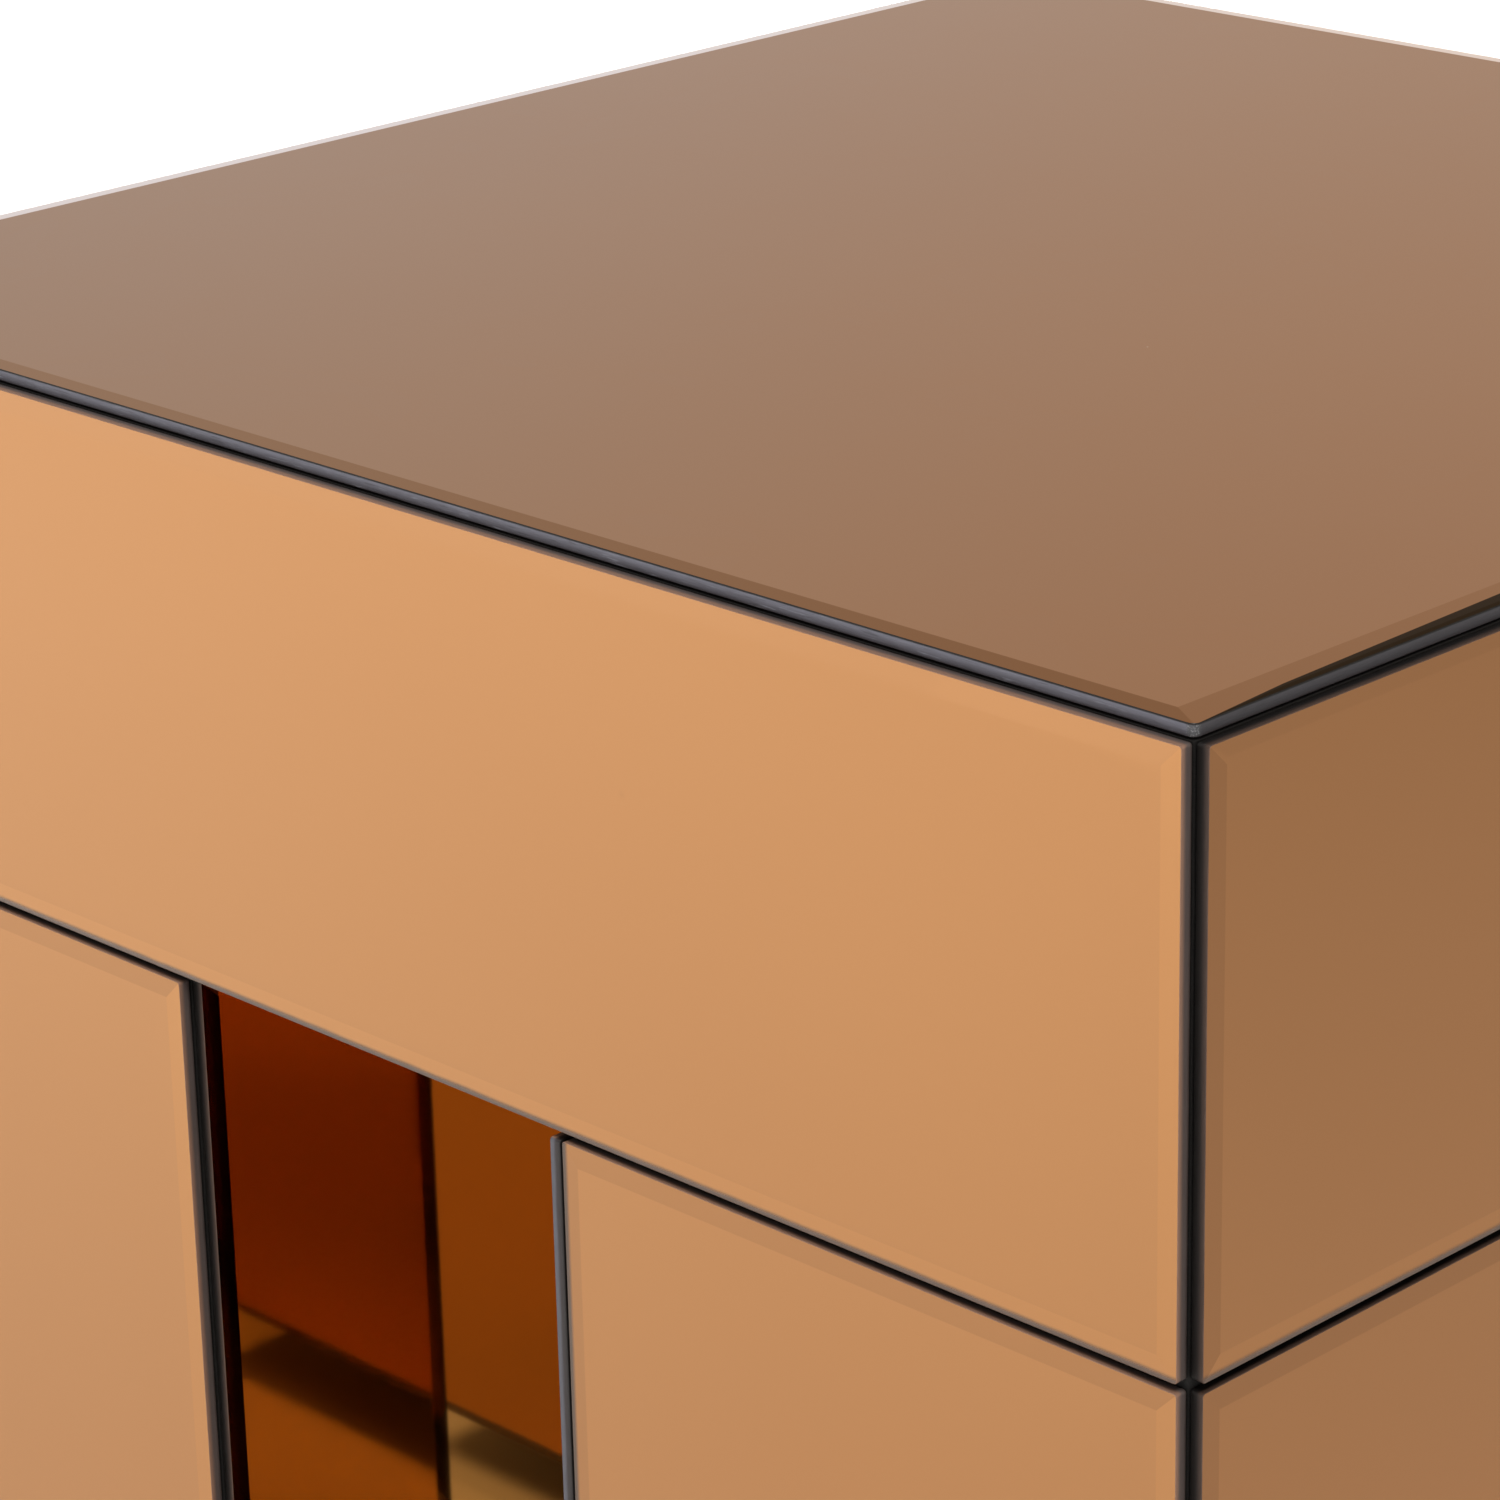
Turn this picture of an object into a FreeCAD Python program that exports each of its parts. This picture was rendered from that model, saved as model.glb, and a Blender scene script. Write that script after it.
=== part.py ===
import FreeCAD, Part
import os

from FreeCAD import Vector

# Mirror-clad cube side table: a square top block on four square block legs, all board boxes faced with
# bevelled bronze mirror. Millimetres, +Z up, origin on the floor under the centre, front face towards -Y.

# Overall
WIDTH = 450.0             # over the glass, along X
DEPTH = 450.0             # over the glass, along Y
HEIGHT = 450.0            # floor to the top of the top mirror

# Glass and its bond
GLASS = 3.0               # sheet thickness
BOND = 0.5                # adhesive layer behind every panel
BEVEL_WIDTH = 5.0         # bevel, measured along the panel's face
BEVEL_DROP = 0.6          # bevel, measured through the thickness
PANEL_CORNER = 1.5        # rounding of each panel's four corners
PANEL_SEAM = 2.0          # gap between a band panel and the leg panel under it
BOND_INSET = 6.0          # the adhesive stops this far inside a panel's edge

# Top block
BLOCK_HEIGHT = 125.0      # top of the top mirror to the lower edge of the band panels
BOARD = 15.0              # every carcass board

# Legs
LEG = 168.0               # over the glass, square
FOOT_HEIGHT = 24.0        # floor to the underside of a leg

# Feet
FOOT_TOP_RADIUS = 25.0
FOOT_TREAD_RADIUS = 22.0
FOOT_WALL = 10.0          # plastic under the head of the foot screw
FOOT_WELL_RADIUS = 7.0    # well that the screw head sinks into

# Wood screws: countersunk, full shank
SCREW_RADIUS = 2.0
SCREW_HEAD_RADIUS = 4.0
SCREW_HEAD_DEPTH = 2.6
LEG_SCREW_LENGTH = 27.0
FOOT_SCREW_LENGTH = 22.0
LEG_SCREW_INSET = 30.0    # screw to the inside of the leg's boards
SCREW_POINT = 4.0         # length of the cone at the tip

# Dowels
DOWEL_RADIUS = 4.0
DOWEL_IN_BOARD = 10.0     # depth in the face of the deck or the soffit
DOWEL_IN_RAIL = 20.0      # depth in a rail's edge
DOWEL_FROM_CORNER = 60.0  # first dowel to the end of the block

# Derived sizes
CLAD = GLASS + BOND
CORE_X = WIDTH - 2 * CLAD
CORE_Y = DEPTH - 2 * CLAD
LEG_CORE = LEG - 2 * CLAD
BLOCK_TOP = HEIGHT - CLAD
BLOCK_BOTTOM = HEIGHT - BLOCK_HEIGHT
RAIL_BOTTOM = BLOCK_BOTTOM + BOARD
RAIL_TOP = BLOCK_TOP - BOARD
RAIL_HEIGHT = RAIL_TOP - RAIL_BOTTOM
LEG_TOP = BLOCK_BOTTOM
LEG_HEIGHT = LEG_TOP - FOOT_HEIGHT
LEG_X = WIDTH / 2 - LEG / 2
LEG_Y = DEPTH / 2 - LEG / 2
LEG_PANEL_HEIGHT = LEG_HEIGHT - PANEL_SEAM
LEG_INSIDE = LEG_CORE - 2 * BOARD

LEGS = {
    "front_left": (-1, -1),
    "front_right": (1, -1),
    "back_left": (-1, 1),
    "back_right": (1, 1),
}

# A side's name gives the turn about Z that brings a panel or board made facing -Y to that side.
SIDES = {"front": 0.0, "right": 90.0, "back": 180.0, "left": 270.0}


def save(shape, node):
    """Writes one node's STEP file."""
    shape.exportStep("parts/" + node + ".step")


def box(size_x, size_y, size_z, x=0.0, y=0.0, z=0.0):
    """A block centred on x and y, standing on z."""
    return Part.makeBox(size_x, size_y, size_z, Vector(x - size_x / 2, y - size_y / 2, z))


def cylinder(radius, height, x, y, z):
    """An upright cylinder standing on z."""
    return Part.makeCylinder(radius, height, Vector(x, y, z))


def turned(shape, angle, x=0.0, y=0.0):
    """A copy of a shape turned about Z and then moved along X and Y."""
    copy = shape.copy()
    copy.rotate(Vector(0, 0, 0), Vector(0, 0, 1), angle)
    copy.translate(Vector(x, y, 0))
    return copy


def rectangle(size_x, size_y, z):
    """A closed rectangle centred on x and y at height z."""
    half_x, half_y = size_x / 2, size_y / 2
    corners = [(-half_x, -half_y), (half_x, -half_y), (half_x, half_y), (-half_x, half_y)]
    return Part.makePolygon([Vector(x, y, z) for x, y in corners + corners[:1]])


def flat_panel(size_x, size_y):
    """A bevelled mirror panel lying on z = 0 with its face up, centred, its four corners rounded."""
    shoulder = GLASS - BEVEL_DROP
    sheet = box(size_x, size_y, shoulder)
    face = rectangle(size_x - 2 * BEVEL_WIDTH, size_y - 2 * BEVEL_WIDTH, GLASS)
    bevel = Part.makeLoft([rectangle(size_x, size_y, shoulder), face], True, True)
    blank = box(size_x, size_y, GLASS)
    uprights = [edge for edge in blank.Edges if edge.BoundBox.ZLength > shoulder]
    return sheet.fuse(bevel).common(blank.makeFillet(PANEL_CORNER, uprights)).removeSplitter()


def stood_up(flat, height, back_y, z):
    """Stands a flat sheet on its lower edge at z, its back at -back_y and its face towards -Y."""
    sheet = flat.copy()
    sheet.rotate(Vector(0, 0, 0), Vector(1, 0, 0), 90)
    sheet.translate(Vector(0, -back_y, z + height / 2))
    return sheet


def clad_side(width, height, half, z, lap=0.0):
    """One side's mirror panel and its adhesive, facing -Y with the glass at -half.

    The panel's +X end runs on by lap, past the end of the boards that it is bonded to.
    """
    panel = stood_up(flat_panel(width + lap, height), height, half - GLASS, z)
    panel.translate(Vector(lap / 2, 0, 0))
    pad = box(width - 2 * BOND_INSET, height - 2 * BOND_INSET, BOND)
    return panel, stood_up(pad, height, half - CLAD, z)


def wood_screw(length):
    """A countersunk screw with its head's flat on z = 0, pointing down."""
    head = Part.makeCone(SCREW_RADIUS, SCREW_HEAD_RADIUS, SCREW_HEAD_DEPTH, Vector(0, 0, -SCREW_HEAD_DEPTH))
    shank = cylinder(SCREW_RADIUS, length - SCREW_POINT, 0, 0, SCREW_POINT - length)
    point = Part.makeCone(0, SCREW_RADIUS, SCREW_POINT, Vector(0, 0, -length))
    return head.fuse(shank).fuse(point).removeSplitter()


def placed(shape, x, y, z, upside_down=False):
    """A copy of a shape moved to a point, after turning it over if asked."""
    copy = shape.copy()
    if upside_down:
        copy.rotate(Vector(0, 0, 0), Vector(1, 0, 0), 180)
    copy.translate(Vector(x, y, z))
    return copy


def leg_screws():
    """Four screws down through the soffit into the head plate of each leg."""
    reach = LEG_INSIDE / 2 - LEG_SCREW_INSET
    screw = wood_screw(LEG_SCREW_LENGTH)
    return [
        placed(screw, side_x * LEG_X + dx, side_y * LEG_Y + dy, RAIL_BOTTOM)
        for side_x, side_y in LEGS.values()
        for dx in (-reach, reach)
        for dy in (-reach, reach)
    ]


def foot_screws():
    """One screw up through each foot into the leg's base plate."""
    screw = wood_screw(FOOT_SCREW_LENGTH)
    seat = FOOT_HEIGHT - FOOT_WALL
    return [placed(screw, x * LEG_X, y * LEG_Y, seat, upside_down=True) for x, y in LEGS.values()]


def dowels():
    """Two dowels in the top and two in the bottom edge of every rail."""
    length = DOWEL_IN_BOARD + DOWEL_IN_RAIL
    rail_x = CORE_X / 2 - BOARD / 2
    rail_y = CORE_Y / 2 - BOARD / 2
    along_x = CORE_X / 2 - DOWEL_FROM_CORNER
    along_y = CORE_Y / 2 - DOWEL_FROM_CORNER
    spots = [(x, y) for x in (-along_x, along_x) for y in (-rail_y, rail_y)]
    spots += [(x, y) for x in (-rail_x, rail_x) for y in (-along_y, along_y)]
    levels = (RAIL_BOTTOM - DOWEL_IN_BOARD, RAIL_TOP - DOWEL_IN_RAIL)
    return [cylinder(DOWEL_RADIUS, length, x, y, z) for x, y in spots for z in levels]


def bored(board, fixings):
    """A board with the holes of the fixings that reach into it."""
    for fixing in fixings:
        if board.BoundBox.intersect(fixing.BoundBox):
            board = board.cut(fixing)
    return board


def block_boards():
    """The top block's carcass: deck, soffit, four rails and two halved ribs."""
    long_x = CORE_X - 2 * BOARD
    long_y = CORE_Y - 2 * BOARD
    rail_x = CORE_X / 2 - BOARD / 2
    rail_y = CORE_Y / 2 - BOARD / 2
    half_lap = RAIL_HEIGHT / 2
    lower_lap = box(BOARD, BOARD, half_lap, z=RAIL_BOTTOM)
    upper_lap = box(BOARD, BOARD, half_lap, z=RAIL_BOTTOM + half_lap)
    return {
        "deck_board": box(CORE_X, CORE_Y, BOARD, z=RAIL_TOP),
        "soffit_board": box(CORE_X, CORE_Y, BOARD, z=BLOCK_BOTTOM),
        "rail_front": box(CORE_X, BOARD, RAIL_HEIGHT, y=-rail_y, z=RAIL_BOTTOM),
        "rail_back": box(CORE_X, BOARD, RAIL_HEIGHT, y=rail_y, z=RAIL_BOTTOM),
        "rail_left": box(BOARD, long_y, RAIL_HEIGHT, x=-rail_x, z=RAIL_BOTTOM),
        "rail_right": box(BOARD, long_y, RAIL_HEIGHT, x=rail_x, z=RAIL_BOTTOM),
        "rib_along_x": box(long_x, BOARD, RAIL_HEIGHT, z=RAIL_BOTTOM).cut(upper_lap),
        "rib_along_y": box(BOARD, long_y, RAIL_HEIGHT, z=RAIL_BOTTOM).cut(lower_lap),
    }


def leg_boards():
    """One leg's carcass, centred on x and y: a square tube of four boards with a plate in each end."""
    middle = LEG_CORE / 2 - BOARD / 2
    return {
        "board_front": box(LEG_CORE, BOARD, LEG_HEIGHT, y=-middle, z=FOOT_HEIGHT),
        "board_back": box(LEG_CORE, BOARD, LEG_HEIGHT, y=middle, z=FOOT_HEIGHT),
        "board_left": box(BOARD, LEG_INSIDE, LEG_HEIGHT, x=-middle, z=FOOT_HEIGHT),
        "board_right": box(BOARD, LEG_INSIDE, LEG_HEIGHT, x=middle, z=FOOT_HEIGHT),
        "head_plate": box(LEG_INSIDE, LEG_INSIDE, BOARD, z=LEG_TOP - BOARD),
        "base_plate": box(LEG_INSIDE, LEG_INSIDE, BOARD, z=FOOT_HEIGHT),
    }


def foot():
    """A round plastic foot, standing on z = 0, with a well for its screw's head."""
    body = Part.makeCone(FOOT_TREAD_RADIUS, FOOT_TOP_RADIUS, FOOT_HEIGHT)
    return body.cut(cylinder(FOOT_WELL_RADIUS, FOOT_HEIGHT - FOOT_WALL, 0, 0, 0))


os.makedirs("parts", exist_ok=True)

leg_screw_set = leg_screws()
foot_screw_set = foot_screws()
dowel_set = dowels()
adhesive = []

# Top block
save(placed(flat_panel(CORE_X, CORE_Y), 0, 0, HEIGHT - GLASS), "top_mirror")
adhesive.append(box(CORE_X - 2 * BOND_INSET, CORE_Y - 2 * BOND_INSET, BOND, z=BLOCK_TOP))

fascia_height = BLOCK_TOP - BLOCK_BOTTOM
for side, angle in SIDES.items():
    width, half = (CORE_X, DEPTH / 2) if side in ("front", "back") else (CORE_Y, WIDTH / 2)
    panel, pad = clad_side(width, fascia_height, half, BLOCK_BOTTOM)
    save(turned(panel, angle), "fascia_mirror_" + side)
    adhesive.append(turned(pad, angle))

for node, board in block_boards().items():
    save(bored(board, leg_screw_set + dowel_set), node)

# Legs: on each, the left panel laps over the end of the front panel, and the other corners are open notches
for leg, (side_x, side_y) in LEGS.items():
    x, y = side_x * LEG_X, side_y * LEG_Y
    for side, angle in SIDES.items():
        lap = CLAD if side == "left" else 0.0
        panel, pad = clad_side(LEG_CORE, LEG_PANEL_HEIGHT, LEG / 2, FOOT_HEIGHT, lap)
        save(turned(panel, angle, x, y), "leg_" + leg + "_mirror_" + side)
        adhesive.append(turned(pad, angle, x, y))
    for name, board in leg_boards().items():
        save(bored(placed(board, x, y, 0), leg_screw_set + foot_screw_set), "leg_" + leg + "_" + name)

# Fixings and feet
feet = [bored(placed(foot(), x * LEG_X, y * LEG_Y, 0), foot_screw_set) for x, y in LEGS.values()]
save(Part.makeCompound(feet), "feet")
save(Part.makeCompound(foot_screw_set), "foot_screws")
save(Part.makeCompound(leg_screw_set), "leg_screws")
save(Part.makeCompound(dowel_set), "carcass_dowels")
save(Part.makeCompound(adhesive), "mirror_adhesive")
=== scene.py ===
import math

import bpy
import numpy as np
from mathutils import Matrix, Vector


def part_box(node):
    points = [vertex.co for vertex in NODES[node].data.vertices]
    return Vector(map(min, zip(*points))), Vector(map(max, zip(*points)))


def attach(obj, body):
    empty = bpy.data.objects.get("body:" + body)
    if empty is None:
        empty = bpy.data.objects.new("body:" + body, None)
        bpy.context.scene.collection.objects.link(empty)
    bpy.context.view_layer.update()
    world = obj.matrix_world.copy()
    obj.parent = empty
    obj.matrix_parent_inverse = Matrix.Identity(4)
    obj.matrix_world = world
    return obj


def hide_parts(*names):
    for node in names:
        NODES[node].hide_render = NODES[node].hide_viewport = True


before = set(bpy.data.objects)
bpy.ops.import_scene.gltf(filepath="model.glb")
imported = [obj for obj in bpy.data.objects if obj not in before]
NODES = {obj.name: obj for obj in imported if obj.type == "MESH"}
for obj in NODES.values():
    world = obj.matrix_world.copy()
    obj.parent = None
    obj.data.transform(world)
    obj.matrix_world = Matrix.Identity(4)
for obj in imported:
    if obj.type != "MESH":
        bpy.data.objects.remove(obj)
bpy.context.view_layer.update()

# Looks of a mirror-clad cube side table. Metres, +Z up, front face towards -Y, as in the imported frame.
# The glass panels are made again here with their real edges; every board, foot and screw keeps its own mesh.
MM = 0.001

# Glass panel, as it is cut, ground and bevelled. The bevels fall less than the CAD's 0.6 mm, because silvered
# glass throws a reflection off course less than the opaque metal that stands for it here would.
TOP_DROP = 0.4 * MM      # how far the top's bevel falls
SIDE_DROP = 0.15 * MM    # how far the upright panels' bevels fall
TOP_CORNER = 1.6 * MM    # rounding of the top panel's corners in plan
SIDE_CORNER = 0.7 * MM   # rounding of the upright panels' corners
FRONT_ARRIS = 0.1 * MM   # hairline chamfer where the bevel meets the ground edge
BACK_ARRIS = 0.2 * MM    # rounding of the ground edge towards the back
CORNER_STEPS = 8         # facets in a panel's rounded corner
ARRIS_STEPS = 4          # facets in the back arris

# Bevel widths in mm, ground by hand and not all alike: left, lower, right, upper end of the panel
BEVELS = (4.6, 4.6, 4.6, 4.6)
TOP_BEVELS = (5.0, 4.0, 7.2, 5.0)
RIGHT_FASCIA_BEVELS = (4.6, 4.6, 4.6, 3.1)

# Share of each panel's ground edge that the backing paint has crept over
TOP_PAINTED = 0.0
PAINTED = {"front": 0.06, "right": 0.9, "back": 0.9, "left": 0.45}

SIDES = {"front": 0, "right": 1, "back": 2, "left": 3}  # quarter turns about Z from the -Y side
LEGS = ("front_left", "front_right", "back_left", "back_right")


# ---------------------------------------------------------------- materials

GLASS_ROUGHNESS = 0.032  # float glass; much less draws rings on it where it is looked at squarely
GLASS_IOR = 1.52

# Painted light and shade on a bevel: the silver's colour where it leans to the lit floor, and where it leans
# away
BEVEL_PAINTED_LIGHT = (1.09, 1.09, 1.06, 1.0)
BEVEL_PAINTED_SHADE = (0.86, 0.84, 0.80, 1.0)


def srgb(code):
    """A hex sRGB colour as linear RGBA."""
    parts = np.array([int(code[i:i + 2], 16) / 255 for i in (1, 3, 5)])
    linear = np.where(parts <= 0.04045, parts / 12.92, ((parts + 0.055) / 1.055) ** 2.4)
    return (*linear.tolist(), 1.0)


def add(tree, kind, inputs=None, **settings):
    """Adds a node, sets its own settings, and fills its inputs with values or with other nodes' outputs."""
    node = tree.nodes.new(kind)
    for name, value in settings.items():
        setattr(node, name, value)
    for name, value in (inputs or {}).items():
        socket = node.inputs[name]
        if isinstance(value, bpy.types.NodeSocket):
            tree.links.new(value, socket)
        else:
            socket.default_value = value
    return node


def new_material(name):
    """An empty node material with its output and its Principled shader."""
    material = bpy.data.materials.new(name)
    material.use_nodes = True
    tree = material.node_tree
    tree.nodes.clear()
    shader = add(tree, "ShaderNodeBsdfPrincipled")
    add(tree, "ShaderNodeOutputMaterial", {"Surface": shader.outputs["BSDF"]})
    return material, tree, shader


def millimetres(tree):
    """Object coordinates in millimetres."""
    where = add(tree, "ShaderNodeTexCoord").outputs["Object"]
    return add(tree, "ShaderNodeVectorMath", {0: where, "Scale": 1000.0}, operation="SCALE").outputs[0]


def noise(tree, where, size, detail=2.0, roughness=0.5, stretch=None):
    """Noise whose lumps are about size millimetres; stretch divides the coordinates along each axis."""
    if stretch:
        where = add(tree, "ShaderNodeVectorMath", {0: where, 1: stretch}, operation="DIVIDE").outputs[0]
    made = {"Vector": where, "Scale": 1.0 / size, "Detail": detail, "Roughness": roughness}
    return add(tree, "ShaderNodeTexNoise", made).outputs["Fac"]


def band(tree, value, low, high, to_low=0.0, to_high=1.0):
    """A smooth step: to_low below low, to_high above high."""
    made = {"Value": value, "From Min": low, "From Max": high, "To Min": to_low, "To Max": to_high}
    return add(tree, "ShaderNodeMapRange", made, interpolation_type="SMOOTHSTEP").outputs["Result"]


def calc(tree, operation, *values):
    """A Math node on the given values."""
    return add(tree, "ShaderNodeMath", dict(enumerate(values)), operation=operation).outputs[0]


def mixed(tree, factor, a, b, blend="MIX"):
    """A colour mix."""
    node = add(tree, "ShaderNodeMix", {"Factor": factor}, data_type="RGBA", blend_type=blend)
    for socket, value in ((node.inputs[6], a), (node.inputs[7], b)):
        if isinstance(value, bpy.types.NodeSocket):
            tree.links.new(value, socket)
        else:
            socket.default_value = value
    return node.outputs[2]


def edge_places(tree):
    """A panel's own distances in mm: from its left end, lower edge, right end, upper edge, back and face."""
    low = add(tree, "ShaderNodeAttribute", attribute_name="from_low_corner").outputs["Vector"]
    high = add(tree, "ShaderNodeAttribute", attribute_name="from_high_corner").outputs["Vector"]
    low = add(tree, "ShaderNodeSeparateXYZ", {0: low}).outputs
    high = add(tree, "ShaderNodeSeparateXYZ", {0: high}).outputs
    return low["X"], low["Y"], high["X"], high["Y"], low["Z"], high["Z"]


def painted_bevel_shading(tree, tint, left, bottom, right, top):
    """Painted light and shade on the silver's colour in an upright panel's bevels, for how each reflects the
    lit floor.

    Paler at the lower and right-hand ends, deeper at the left-hand end and, on a leg, at the upper one. Each
    point belongs to its nearest end, which makes mitres. A band panel is told by its width, over 200 mm.
    """
    nearest = calc(tree, "MINIMUM", calc(tree, "MINIMUM", left, right), calc(tree, "MINIMUM", bottom, top))
    bevel = band(tree, nearest, 4.4, 4.7, 1.0, 0.0)
    fascia = band(tree, calc(tree, "ADD", left, right), 200.0, 300.0, 0.0, 10.0)
    shaded = calc(tree, "MINIMUM", left, calc(tree, "ADD", top, fascia))
    for ends, colour in ((calc(tree, "MINIMUM", bottom, right), BEVEL_PAINTED_LIGHT), (shaded, BEVEL_PAINTED_SHADE)):
        here = band(tree, calc(tree, "SUBTRACT", ends, nearest), 0.0, 0.1, 1.0, 0.0)
        tint = mixed(tree, calc(tree, "MULTIPLY", bevel, here), tint, colour, "MULTIPLY")
    return tint


def bronze_mirror(name, light, dark, gloss, edge_reflection=None, inside=False):
    """Bronze-tinted float glass, silvered and painted black behind: a brown-orange mirror under clear gloss.

    Opaque here: the silvering is the metal, and the glass over it is the coat, gloss strong. An upright panel
    gets a painted reflection: the dark band that its painted lower edge throws up into the glass. inside is
    for the panels that face a passage, whose end bevels look at each other many times over; their near-black
    is painted shade, and so is their wider, darker lower band.
    """
    material, tree, shader = new_material(name)
    where = millimetres(tree)
    left, bottom, right, top, _, _ = edge_places(tree)
    painted = add(tree, "ShaderNodeAttribute", attribute_name="painted").outputs["Fac"]

    tint = mixed(tree, noise(tree, where, 160.0, 1.0), srgb(dark), srgb(light))
    # dried spots, 2 mm wide and faint, and dust: 0.3 mm in life, drawn 0.5 mm so that it shows
    spots = add(tree, "ShaderNodeTexVoronoi", {"Vector": where, "Scale": 1 / 60.0, "Randomness": 1.0})
    spotted = band(tree, spots.outputs["Distance"], 0.01, 0.03, 0.22, 0.0)
    tint = mixed(tree, spotted, tint, srgb("#8f6138"))
    motes = add(tree, "ShaderNodeTexVoronoi", {"Vector": where, "Scale": 1 / 34.0, "Randomness": 1.0})
    dust = band(tree, motes.outputs["Distance"], 0.006, 0.010, 0.5, 0.0)
    tint = mixed(tree, dust, tint, srgb("#e8d9c8"))
    metal = calc(tree, "SUBTRACT", 1.0, calc(tree, "MULTIPLY", dust, 0.8))
    haze = calc(tree, "ADD", GLASS_ROUGHNESS, calc(tree, "MULTIPLY", dust, 0.5))

    if edge_reflection:
        # painted reflection of the painted lower edge in the glass: a dark band over its lower 2 mm, wider
        # and darker on the passages' panels, where it also paints shade under the legs
        wander = calc(tree, "MULTIPLY", noise(tree, where, 9.0, 3.0), 0.4)
        height = calc(tree, "ADD", bottom, calc(tree, "SUBTRACT", wander, 1.9 if inside else 0.0))
        tint = mixed(tree, band(tree, height, 0.8, 2.1, 0.92, 0.0), tint, srgb(edge_reflection))
        metal = calc(tree, "MINIMUM", metal, band(tree, height, 0.9, 1.6, 0.2, 1.0))
        haze = calc(tree, "MAXIMUM", haze, band(tree, height, 0.8, 1.6, 0.4, GLASS_ROUGHNESS))
        # and the same painted reflection at the left-hand end, where its edge is bare
        bare = band(tree, painted, 0.2, 0.6, 1.0, 0.0)
        showing = calc(tree, "MULTIPLY", band(tree, left, 0.6, 1.8, 0.9, 0.0), bare)
        tint = mixed(tree, showing, tint, srgb(edge_reflection))
        metal = calc(tree, "SUBTRACT", metal, calc(tree, "MULTIPLY", showing, 0.6))
        if inside:
            # painted shade: the end bevels inside a passage, near black from their many reflections of each
            # other
            end = calc(tree, "MINIMUM", left, right)
            tint = mixed(tree, band(tree, end, 4.3, 4.6, 0.9, 0.0), tint, srgb("#2a1508"))
        else:
            tint = painted_bevel_shading(tree, tint, left, bottom, right, top)
    else:
        # painted reflection: the painted edge seen through the right-hand bevel, drawn as a black line and a
        # grey strip, wider backwards
        line = calc(tree, "MINIMUM", calc(tree, "MULTIPLY", bottom, 0.05), 1.3)
        strip = calc(tree, "ADD", line, calc(tree, "MINIMUM", calc(tree, "MULTIPLY", bottom, 0.026), 3.0))
        painted_edge_reflection = band(tree, calc(tree, "SUBTRACT", strip, right), -0.08, 0.08)
        black = band(tree, calc(tree, "SUBTRACT", line, right), -0.1, 0.1)
        tint = mixed(tree, painted_edge_reflection, tint, srgb("#2d2c2e"))
        tint = mixed(tree, black, tint, srgb("#080707"))
        haze = calc(tree, "MAXIMUM", haze, calc(tree, "MULTIPLY", painted_edge_reflection, 0.45))
        clear = calc(tree, "SUBTRACT", 1.0, calc(tree, "MULTIPLY", painted_edge_reflection, 0.93))
        tree.links.new(clear, shader.inputs["Coat Weight"])

    tree.links.new(tint, shader.inputs["Base Color"])
    tree.links.new(metal, shader.inputs["Metallic"])
    tree.links.new(haze, shader.inputs["Roughness"])
    # silver behind glass doesn't pale at a grazing angle as bare metal does
    shader.inputs["Specular Tint"].default_value = (0.86, 0.69, 0.54, 1.0)
    shader.inputs["Coat Weight"].default_value = gloss
    shader.inputs["Coat Roughness"].default_value = GLASS_ROUGHNESS
    shader.inputs["Coat IOR"].default_value = GLASS_IOR
    # float glass on board is flat to a few hundredths of a millimetre over a hand's width
    wave = noise(tree, where, 70.0, 1.0)
    bump = add(tree, "ShaderNodeBump", {"Height": wave, "Strength": 0.05, "Distance": 0.0006})
    tree.links.new(bump.outputs["Normal"], shader.inputs["Normal"])
    return material


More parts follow.
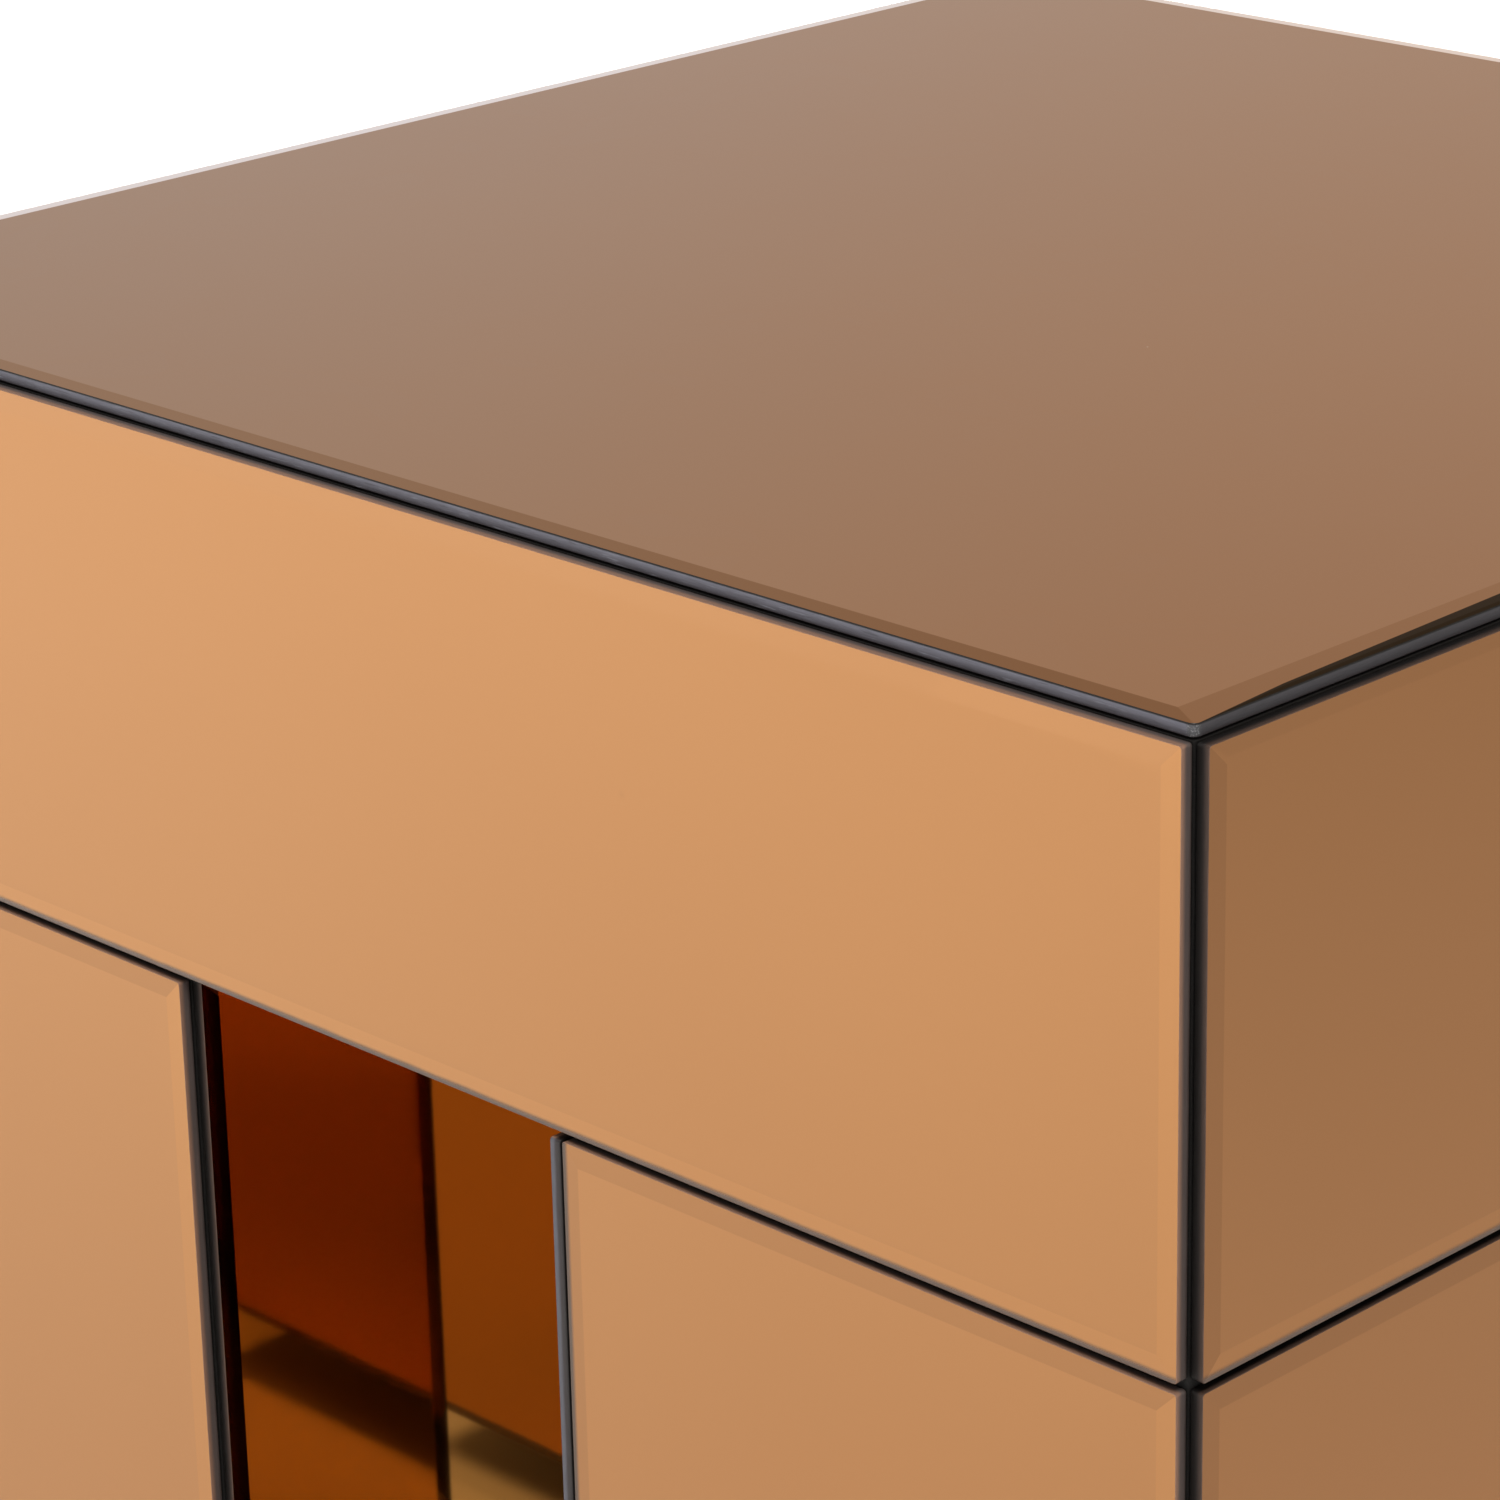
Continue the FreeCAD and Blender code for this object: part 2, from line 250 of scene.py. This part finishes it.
def ground_glass_edge():
    """Flat-ground bronze glass edge, 400 grit: satin grey with wheel lines along it, and black paint over.

    The top panel's edge is bluer and pales towards its face, and its rounded corners are frosted. An upright
    panel's edge is a warmer, darker grey that turns brown under the face. Paint reaches as far up from the
    back as the panel's own painted value says.
    """
    material, tree, shader = new_material("ground_glass_edge")
    left, bottom, right, top, depth, under_face = edge_places(tree)
    painted = add(tree, "ShaderNodeAttribute", attribute_name="painted").outputs["Fac"]
    along = calc(tree, "ADD", left, bottom)
    strand = add(tree, "ShaderNodeCombineXYZ", {"X": calc(tree, "DIVIDE", along, 14.0), "Y": depth})
    # wheel lines: 0.04 mm apart in life, drawn 0.25 mm apart
    lines = noise(tree, strand.outputs[0], 0.25, 3.0, 0.6)
    blots = noise(tree, strand.outputs[0], 1.1, 2.0)

    # the top panel: pale under the face, darker towards the back, and on its right-hand edge darker as
    # painted shade
    fall = calc(tree, "ADD", depth, calc(tree, "MULTIPLY", blots, 0.8))
    flat = mixed(tree, band(tree, fall, 0.3, 2.9), srgb("#504e56"), srgb("#818392"))
    streak = noise(tree, strand.outputs[0], 0.6, 3.0, 0.6)
    flat = mixed(tree, band(tree, streak, 0.56, 0.72, 0.0, 0.6), flat, srgb("#9a9daa"))
    flat = mixed(tree, band(tree, streak, 0.30, 0.44, 0.5, 0.0), flat, srgb("#3b3b42"))
    flat = mixed(tree, band(tree, right, 0.2, 0.6, 0.85, 0.0), flat, srgb("#434144"))
    corner = calc(tree, "MAXIMUM", calc(tree, "MINIMUM", left, right), calc(tree, "MINIMUM", bottom, top))
    fleck = noise(tree, millimetres(tree), 0.35, 2.0)
    frosted = mixed(tree, band(tree, fleck, 0.5, 0.68), srgb("#55575b"), srgb("#9a9da2"))
    flat = mixed(tree, band(tree, corner, 1.2, 2.2, 0.8, 0.0), flat, frosted)

    # an upright panel: warm grey, and translucent brown under the face
    upright = mixed(tree, blots, srgb("#5a504e"), srgb("#6b605d"))
    under = calc(tree, "ADD", under_face, band(tree, top, 0.2, 0.6, -0.5, 0.0))
    upright = mixed(tree, band(tree, under, 0.4, 1.6, 0.85, 0.0), upright, srgb("#a8826c"))
    # the right-hand end is bluer, but for the front panels
    blue = calc(tree, "MULTIPLY", band(tree, right, 0.2, 0.5, 1.0, 0.0), band(tree, painted, 0.2, 0.4))
    upright = mixed(tree, blue, upright, srgb("#6a6a75"))

    grey = mixed(tree, band(tree, painted, 0.0, 0.05), flat, upright)
    grey = mixed(tree, calc(tree, "MULTIPLY", lines, 0.3), grey, srgb("#111112"))
    # black paint from the back, brown where it thins out
    ragged = calc(tree, "MULTIPLY", noise(tree, strand.outputs[0], 0.9, 3.0, 0.65), 0.7)
    reach = calc(tree, "ADD", calc(tree, "MULTIPLY", painted, 3.2), ragged)
    over = calc(tree, "SUBTRACT", reach, calc(tree, "ADD", depth, 0.6))
    grey = mixed(tree, band(tree, over, -0.9, 0.1, 0.0, 0.85), grey, srgb("#2a1e1a"))
    grey = mixed(tree, band(tree, over, 0.0, 1.8), grey, srgb("#0d0a09"))
    # the dark line under the face, on the top panel only
    unpainted = band(tree, painted, 0.0, 0.05, 1.0, 0.0)
    rim = calc(tree, "MULTIPLY", band(tree, under_face, 0.6, 0.85, 1.0, 0.0), unpainted)
    grey = mixed(tree, rim, grey, srgb("#0d0c0d"))
    tree.links.new(grey, shader.inputs["Base Color"])
    tree.links.new(band(tree, lines, 0.2, 0.8, 0.38, 0.55), shader.inputs["Roughness"])
    shader.inputs["IOR"].default_value = GLASS_IOR
    bump = add(tree, "ShaderNodeBump", {"Height": lines, "Strength": 0.35, "Distance": 0.0001})
    tree.links.new(bump.outputs["Normal"], shader.inputs["Normal"])
    return material


def backing_paint():
    """Black alkyd paint rolled on the back of the silvering: dull black with a faint orange peel."""
    material, tree, shader = new_material("black_backing_paint")
    where = millimetres(tree)
    peel = noise(tree, where, 1.6, 2.0)
    tint = mixed(tree, noise(tree, where, 30.0), srgb("#0c0b0b"), srgb("#161413"))
    tree.links.new(tint, shader.inputs["Base Color"])
    tree.links.new(band(tree, peel, 0.3, 0.7, 0.5, 0.7), shader.inputs["Roughness"])
    bump = add(tree, "ShaderNodeBump", {"Height": peel, "Strength": 0.3, "Distance": 0.0001})
    tree.links.new(bump.outputs["Normal"], shader.inputs["Normal"])
    return material


def sealed_board():
    """MDF sprayed black: matt, with a fine raised fibre and paler rubbed places."""
    material, tree, shader = new_material("black_sealed_board")
    where = millimetres(tree)
    fibre = noise(tree, where, 0.9, 5.0, 0.65)
    rubbed = band(tree, noise(tree, where, 35.0, 3.0), 0.55, 0.75, 0.0, 0.35)
    tint = mixed(tree, fibre, srgb("#100f0f"), srgb("#1c1a19"))
    tint = mixed(tree, rubbed, tint, srgb("#2b2724"))
    tree.links.new(tint, shader.inputs["Base Color"])
    tree.links.new(band(tree, fibre, 0.3, 0.7, 0.55, 0.8), shader.inputs["Roughness"])
    bump = add(tree, "ShaderNodeBump", {"Height": fibre, "Strength": 0.4, "Distance": 0.00015})
    tree.links.new(bump.outputs["Normal"], shader.inputs["Normal"])
    return material


def foam_adhesive():
    """Black acrylic foam tape: soft matt black with closed cells."""
    material, tree, shader = new_material("mirror_adhesive")
    where = millimetres(tree)
    cells = add(tree, "ShaderNodeTexVoronoi", {"Vector": where, "Scale": 1 / 0.4})
    tint = mixed(tree, cells.outputs["Distance"], srgb("#0b0b0c"), srgb("#1a1a1c"))
    tree.links.new(tint, shader.inputs["Base Color"])
    shader.inputs["Roughness"].default_value = 0.85
    pitted = {"Height": cells.outputs["Distance"], "Strength": 0.5, "Distance": 0.0001}
    bump = add(tree, "ShaderNodeBump", pitted)
    tree.links.new(bump.outputs["Normal"], shader.inputs["Normal"])
    return material


def beech():
    """Turned beech dowel: pale pinkish wood with short dark flecks along the grain."""
    material, tree, shader = new_material("beech")
    where = millimetres(tree)
    grain = noise(tree, where, 1.2, 4.0, 0.6, (1.0, 1.0, 12.0))
    fleck = band(tree, noise(tree, where, 0.5, 2.0, 0.5, (1.0, 1.0, 6.0)), 0.62, 0.7, 0.0, 0.6)
    tint = mixed(tree, grain, srgb("#c9a57c"), srgb("#dcbd96"))
    tint = mixed(tree, fleck, tint, srgb("#9c7348"))
    tree.links.new(tint, shader.inputs["Base Color"])
    tree.links.new(band(tree, grain, 0.3, 0.7, 0.5, 0.65), shader.inputs["Roughness"])
    bump = add(tree, "ShaderNodeBump", {"Height": grain, "Strength": 0.3, "Distance": 0.0002})
    tree.links.new(bump.outputs["Normal"], shader.inputs["Normal"])
    return material


def zinc_steel():
    """Zinc-plated steel screw: bright grey metal with a thin yellow-blue passivation."""
    material, tree, shader = new_material("zinc_plated_steel")
    where = millimetres(tree)
    cloud = noise(tree, where, 3.0, 3.0)
    tint = mixed(tree, cloud, srgb("#b9bcc0"), srgb("#d0cdbf"))
    tree.links.new(tint, shader.inputs["Base Color"])
    shader.inputs["Metallic"].default_value = 1.0
    tree.links.new(band(tree, cloud, 0.3, 0.7, 0.25, 0.42), shader.inputs["Roughness"])
    return material


def moulded_plastic():
    """Injection-moulded polypropylene foot: soft-sheen black with a fine spark-eroded texture."""
    material, tree, shader = new_material("black_moulded_plastic")
    where = millimetres(tree)
    spark = noise(tree, where, 0.5, 3.0, 0.6)
    scuff = band(tree, noise(tree, where, 12.0, 4.0), 0.55, 0.75, 0.0, 0.4)
    tint = mixed(tree, scuff, srgb("#141415"), srgb("#2a2a2b"))
    tree.links.new(tint, shader.inputs["Base Color"])
    tree.links.new(band(tree, spark, 0.3, 0.7, 0.42, 0.6), shader.inputs["Roughness"])
    shader.inputs["IOR"].default_value = 1.49
    bump = add(tree, "ShaderNodeBump", {"Height": spark, "Strength": 0.25, "Distance": 0.0001})
    tree.links.new(bump.outputs["Normal"], shader.inputs["Normal"])
    return material


TOP_MIRROR = bronze_mirror("bronze_mirror_top", "#c98d53", "#c4874d", 1.0)
SIDE_MIRROR = bronze_mirror("bronze_mirror_side", "#c98d53", "#c4874d", 1.0, "#4d413e")
# inside the passages each panel is seen in the next: a deeper, half-gloss copy of the same glass, painted
# shade
SHADED_PASSAGE_MIRROR = bronze_mirror("bronze_mirror_passage_shaded", "#cb8d3c", "#c58736", 0.5, "#15100d", inside=True)
GROUND_EDGE = ground_glass_edge()
BACKING = backing_paint()
BOARD = sealed_board()
ADHESIVE = foam_adhesive()
BEECH = beech()
ZINC = zinc_steel()
PLASTIC = moulded_plastic()


# ---------------------------------------------------------------- mirror panels

def rounded_outline(half_u, half_v, radius, inset):
    """Points round a rectangle with rounded corners, anticlockwise from the lower right corner.

    In each corner the angle runs a quarter turn; a point is the corner's centre plus (radius - inset) times
    the cosine and sine of the angle.
    """
    turn = np.linspace(0, math.pi / 2, CORNER_STEPS + 1)
    angle = (np.arange(-1, 3)[:, None] * (math.pi / 2) + turn).ravel()
    corner_u = np.repeat([1, 1, -1, -1], CORNER_STEPS + 1) * (half_u - radius)
    corner_v = np.repeat([-1, 1, 1, -1], CORNER_STEPS + 1) * (half_v - radius)
    reach = radius - inset
    return corner_u + reach * np.cos(angle), corner_v + reach * np.sin(angle)


def panel_surface(width, height, thick, bevels, drop, radius):
    """Vertices, faces, each face's zone (0 mirror, 1 ground edge, 2 painted back) and where each ring of
    vertices starts, for one panel lying face up.

    The flat field is a rectangle. Outside it the height falls by drop times the share of that side's
    bevel width that has been crossed, and where two bevels meet the larger share counts, which makes a mitre.
    Below that the outline is carried down the edge and round the back arris, a quarter circle, in rings of
    equal point count.
    """
    half_u, half_v = width / 2, height / 2
    left, lower, right, upper = (bevel * MM for bevel in bevels)
    east, north = half_u - right, half_v - upper
    west, south = left - half_u, lower - half_v
    field = np.array([(east, south), (east, north), (west, north), (west, south)])
    points = [np.column_stack([field, np.full(4, thick)])]

    u, v = rounded_outline(half_u, half_v, radius, FRONT_ARRIS)
    across = np.maximum((u - east) / right, (west - u) / left)
    along = np.maximum((v - north) / upper, (south - v) / lower)
    lip = thick - drop * np.maximum(across, along)
    rings = [(u, v, lip)]
    u, v = rounded_outline(half_u, half_v, radius, 0.0)
    rings.append((u, v, lip - FRONT_ARRIS))
    for step in np.linspace(0, math.pi / 2, ARRIS_STEPS + 1):
        u, v = rounded_outline(half_u, half_v, radius, BACK_ARRIS * (1 - math.cos(step)))
        rings.append((u, v, np.full(len(u), BACK_ARRIS * (1 - math.sin(step)))))
    points += [np.column_stack(ring) for ring in rings]

    count = 4 * (CORNER_STEPS + 1)
    first = 4 + count * np.arange(len(rings))
    faces, zones = [[0, 1, 2, 3]], [0]
    for corner in range(4):
        start = first[0] + corner * (CORNER_STEPS + 1)
        fan = [[corner, start + i, start + i + 1] for i in range(CORNER_STEPS)]
        after = first[0] + (corner + 1) * (CORNER_STEPS + 1) % count
        faces += fan + [[corner, start + CORNER_STEPS, after, (corner + 1) % 4]]
        zones += [0] * (CORNER_STEPS + 1)
    step = np.arange(count)
    following = (step + 1) % count
    for upper, lower in zip(first[:-1], first[1:]):
        faces += np.column_stack([upper + step, lower + step, lower + following, upper + following]).tolist()
        zones += [1] * count
    faces.append((first[-1] + step[::-1]).tolist())
    zones.append(2)
    return np.vstack(points), faces, zones, first


def vector_attribute(mesh, name, values):
    """Stores three numbers a vertex."""
    stored = mesh.attributes.new(name, "FLOAT_VECTOR", "POINT").data
    stored.foreach_set("vector", values.astype(np.float32).ravel())


def crisp_rims(mesh, first):
    """Keeps the two edges of the front arris sharp, so that the ground edge shades as a flat band.

    An edge is sharp where both its ends lie in the same one of the first two rings.
    """
    ends = np.empty(2 * len(mesh.edges), np.int32)
    mesh.edges.foreach_get("vertices", ends)
    ring = np.searchsorted(first, ends, side="right").reshape(-1, 2)
    sharp = (ring[:, 0] == ring[:, 1]) & (ring[:, 0] >= 1) & (ring[:, 0] <= 2)
    mesh.attributes.new("sharp_edge", "BOOLEAN", "EDGE").data.foreach_set("value", sharp)


def mirror_panel(node, side, mirror, painted, bevels=BEVELS):
    """One glass panel in the place of its CAD node; side is None for the panel that lies flat.

    painted is the share of its ground edge that the backing paint covers.
    """
    low, high = (np.array(corner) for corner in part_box(node))
    centre, size = (low + high) / 2, high - low
    if side is None:
        width, height, thick = size
        axes = np.eye(3)
    else:
        turn = SIDES[side] * math.pi / 2
        across = np.array([round(math.cos(turn)), round(math.sin(turn)), 0])
        outward = np.array([across[1], -across[0], 0])
        axes = np.array([across, (0, 0, 1), outward])
        width, height, thick = np.abs(axes @ size)
    drop, radius = (SIDE_DROP, SIDE_CORNER) if side else (TOP_DROP, TOP_CORNER)
    points, faces, zones, first = panel_surface(width, height, thick, bevels, drop, radius)
    local = points - (0, 0, thick / 2)
    mesh = bpy.data.meshes.new(node + "_glass")
    mesh.from_pydata((centre + local @ axes).tolist(), [], faces)
    mesh.polygons.foreach_set("material_index", np.array(zones, np.int32))
    mesh.polygons.foreach_set("use_smooth", np.array(zones) == 1)
    vector_attribute(mesh, "from_low_corner", (points + (width / 2, height / 2, 0)) / MM)
    vector_attribute(mesh, "from_high_corner", ((width / 2, height / 2, thick) - points) / MM)
    cover = mesh.attributes.new("painted", "FLOAT", "POINT")
    cover.data.foreach_set("value", np.full(len(points), painted, np.float32))
    for material in (mirror, GROUND_EDGE, BACKING):
        mesh.materials.append(material)
    mesh.update(calc_edges=True)
    crisp_rims(mesh, first)
    piece = bpy.data.objects.new(node + "_glass", mesh)
    bpy.context.scene.collection.objects.link(piece)
    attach(piece, "root")
    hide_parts(node)
    return piece


mirror_panel("top_mirror", None, TOP_MIRROR, TOP_PAINTED, TOP_BEVELS)
for side in SIDES:
    bevels = RIGHT_FASCIA_BEVELS if side == "right" else BEVELS
    mirror_panel("fascia_mirror_" + side, side, SIDE_MIRROR, PAINTED[side], bevels)
    for leg in LEGS:
        mirror = SIDE_MIRROR if side in leg.split("_") else SHADED_PASSAGE_MIRROR
        mirror_panel("leg_" + leg + "_mirror_" + side, side, mirror, PAINTED[side])


# ---------------------------------------------------------------- carried-over nodes

SHOWN_AS = {
    "mirror_adhesive": ADHESIVE,
    "carcass_dowels": BEECH,
    "foot_screws": ZINC,
    "leg_screws": ZINC,
    "feet": PLASTIC,
}
for name, node in NODES.items():
    if not node.hide_render:
        node.data.materials.clear()
        node.data.materials.append(SHOWN_AS.get(name, BOARD))


# ---------------------------------------------------------------- studio

FLOOR_RADIUS = 9.0
LIT_FLOOR_MM = (2100.0, 3300.0)  # from the middle: where the floor's own light starts, and where it is full
LIT_FLOOR_STRENGTH = 0.85

# The surround's colour by the sine of the height above the horizon; white at the horizon
ROOM = (
    (0.0, (1.0, 1.0, 1.0)),
    (0.13, (0.95, 0.94, 0.93)),
    (0.20, (0.53, 0.46, 0.40)),
    (0.34, (0.50, 0.43, 0.365)),
    (0.46, (0.36, 0.30, 0.245)),
    (1.0, (0.20, 0.20, 0.20)),
)
COOL = (1.0, 1.14, 1.32, 1.0)    # what multiplies it towards -X

# Name, place, point aimed at, size, watts, colour, cone in degrees
SOFTBOXES = (
    ("key_light", (1.45, -1.3, 3.0), (0.1, 0.0, 0.2), (1.0, 1.0), 56.0, (1.0, 0.97, 0.93), 180.0),
    ("side_light", (-2.0, 0.0, 2.6), (-2.0, 0.0, 0.0), (2.4, 5.0), 44.0, (0.97, 1.0, 1.0), 75.0),
    ("front_light", (-0.5, -1.5, 2.6), (-0.5, -1.5, 0.0), (1.6, 1.2), 4.0, (1.0, 1.0, 1.0), 60.0),
    ("back_light", (-1.8, 1.8, 2.6), (-1.8, 1.8, 0.0), (1.2, 1.2), 14.0, (1.0, 1.0, 1.0), 70.0),
    ("passage_light", (-1.3, 0.05, 0.9), (-0.06, 0.06, 0.0), (0.12, 0.12), 0.13, (1.0, 0.97, 0.92), 12.0),
)

# Out past the near corner of the top and above it, looking down on it
CAMERA_PLACE = (0.7542, -0.8514, 0.7499)
CAMERA_YAW, CAMERA_PITCH, CAMERA_ROLL = (math.radians(angle) for angle in (45.50, 20.25, -1.30))
CAMERA_LENS = 123.1


def studio_floor():
    """Pale floor: one flat disc, its rim points at equal angles."""
    angle = np.linspace(0, 2 * math.pi, 96, endpoint=False)
    rim = FLOOR_RADIUS * np.column_stack([np.cos(angle), np.sin(angle), 0 * angle])
    mesh = bpy.data.meshes.new("studio_floor")
    mesh.from_pydata(rim.tolist(), [], [list(range(len(rim)))])
    material, tree, shader = new_material("pale_floor")
    grain = noise(tree, millimetres(tree), 400.0)
    tree.links.new(mixed(tree, grain, srgb("#e9e8e6"), srgb("#ebeae8")), shader.inputs["Base Color"])
    shader.inputs["Roughness"].default_value = 0.9
    shader.inputs["Specular IOR Level"].default_value = 0.1
    # away from the table the floor is lit from below, and runs into the white surround with no line
    away = add(tree, "ShaderNodeVectorMath", {0: millimetres(tree)}, operation="LENGTH").outputs["Value"]
    glow = band(tree, away, *LIT_FLOOR_MM, 0.0, LIT_FLOOR_STRENGTH)
    tree.links.new(glow, shader.inputs["Emission Strength"])
    shader.inputs["Emission Color"].default_value = (1.0, 1.0, 1.0, 1.0)
    mesh.materials.append(material)
    floor = bpy.data.objects.new("studio_floor", mesh)
    bpy.context.scene.collection.objects.link(floor)


def studio_surround():
    """White near the horizon and a dimmer, warmer room above, cooler towards -X."""
    world = bpy.data.worlds.new("studio")
    bpy.context.scene.world = world
    world.use_nodes = True
    tree = world.node_tree
    tree.nodes.clear()
    direction = add(tree, "ShaderNodeTexCoord").outputs["Generated"]
    direction = add(tree, "ShaderNodeSeparateXYZ", {0: direction}).outputs
    ramp = add(tree, "ShaderNodeValToRGB", {"Fac": direction["Z"]})
    stops = ramp.color_ramp.elements
    stops.remove(stops[1])
    stops[0].color = (*ROOM[0][1], 1.0)
    for at, colour in ROOM[1:]:
        stops.new(at).color = (*colour, 1.0)
    cool = band(tree, calc(tree, "MULTIPLY", direction["X"], -1.0), 0.58, 0.8)
    cooled = mixed(tree, 1.0, ramp.outputs["Color"], COOL, "MULTIPLY")
    tint = mixed(tree, cool, ramp.outputs["Color"], cooled)
    light = add(tree, "ShaderNodeBackground", {"Color": tint, "Strength": 1.0})
    add(tree, "ShaderNodeOutputWorld", {"Surface": light.outputs[0]})


def softbox(name, place, aim, size, power, colour, spread):
    """A rectangular area light at a place, facing a point; spread is its cone in degrees."""
    data = bpy.data.lights.new(name, "AREA")
    data.shape = "RECTANGLE"
    data.size, data.size_y = size
    data.energy = power
    data.color = colour
    data.spread = math.radians(spread)
    lamp = bpy.data.objects.new(name, data)
    bpy.context.scene.collection.objects.link(lamp)
    lamp.location = place
    lamp.rotation_euler = (Vector(aim) - lamp.location).to_track_quat("-Z", "Y").to_euler()


def main_camera():
    """Looks down on the near corner of the top from the front right."""
    data = bpy.data.cameras.new("main_camera")
    data.sensor_width = 36.0
    data.lens = CAMERA_LENS
    data.clip_start = 0.05
    data.clip_end = 50.0
    camera = bpy.data.objects.new("main_camera", data)
    bpy.context.scene.collection.objects.link(camera)
    turned = Matrix.Rotation(CAMERA_YAW, 4, "Z") @ Matrix.Rotation(math.pi / 2 - CAMERA_PITCH, 4, "X")
    turned = turned @ Matrix.Rotation(CAMERA_ROLL, 4, "Z")
    camera.matrix_world = Matrix.Translation(CAMERA_PLACE) @ turned
    bpy.context.scene.camera = camera


studio_floor()
studio_surround()
for light in SOFTBOXES:
    softbox(*light)
main_camera()

scene = bpy.context.scene
scene.view_settings.view_transform = "Standard"
# enough bounces for the passages' mirrors to see each other
scene.cycles.max_bounces = 16
scene.cycles.glossy_bounces = 12
scene.cycles.diffuse_bounces = 3
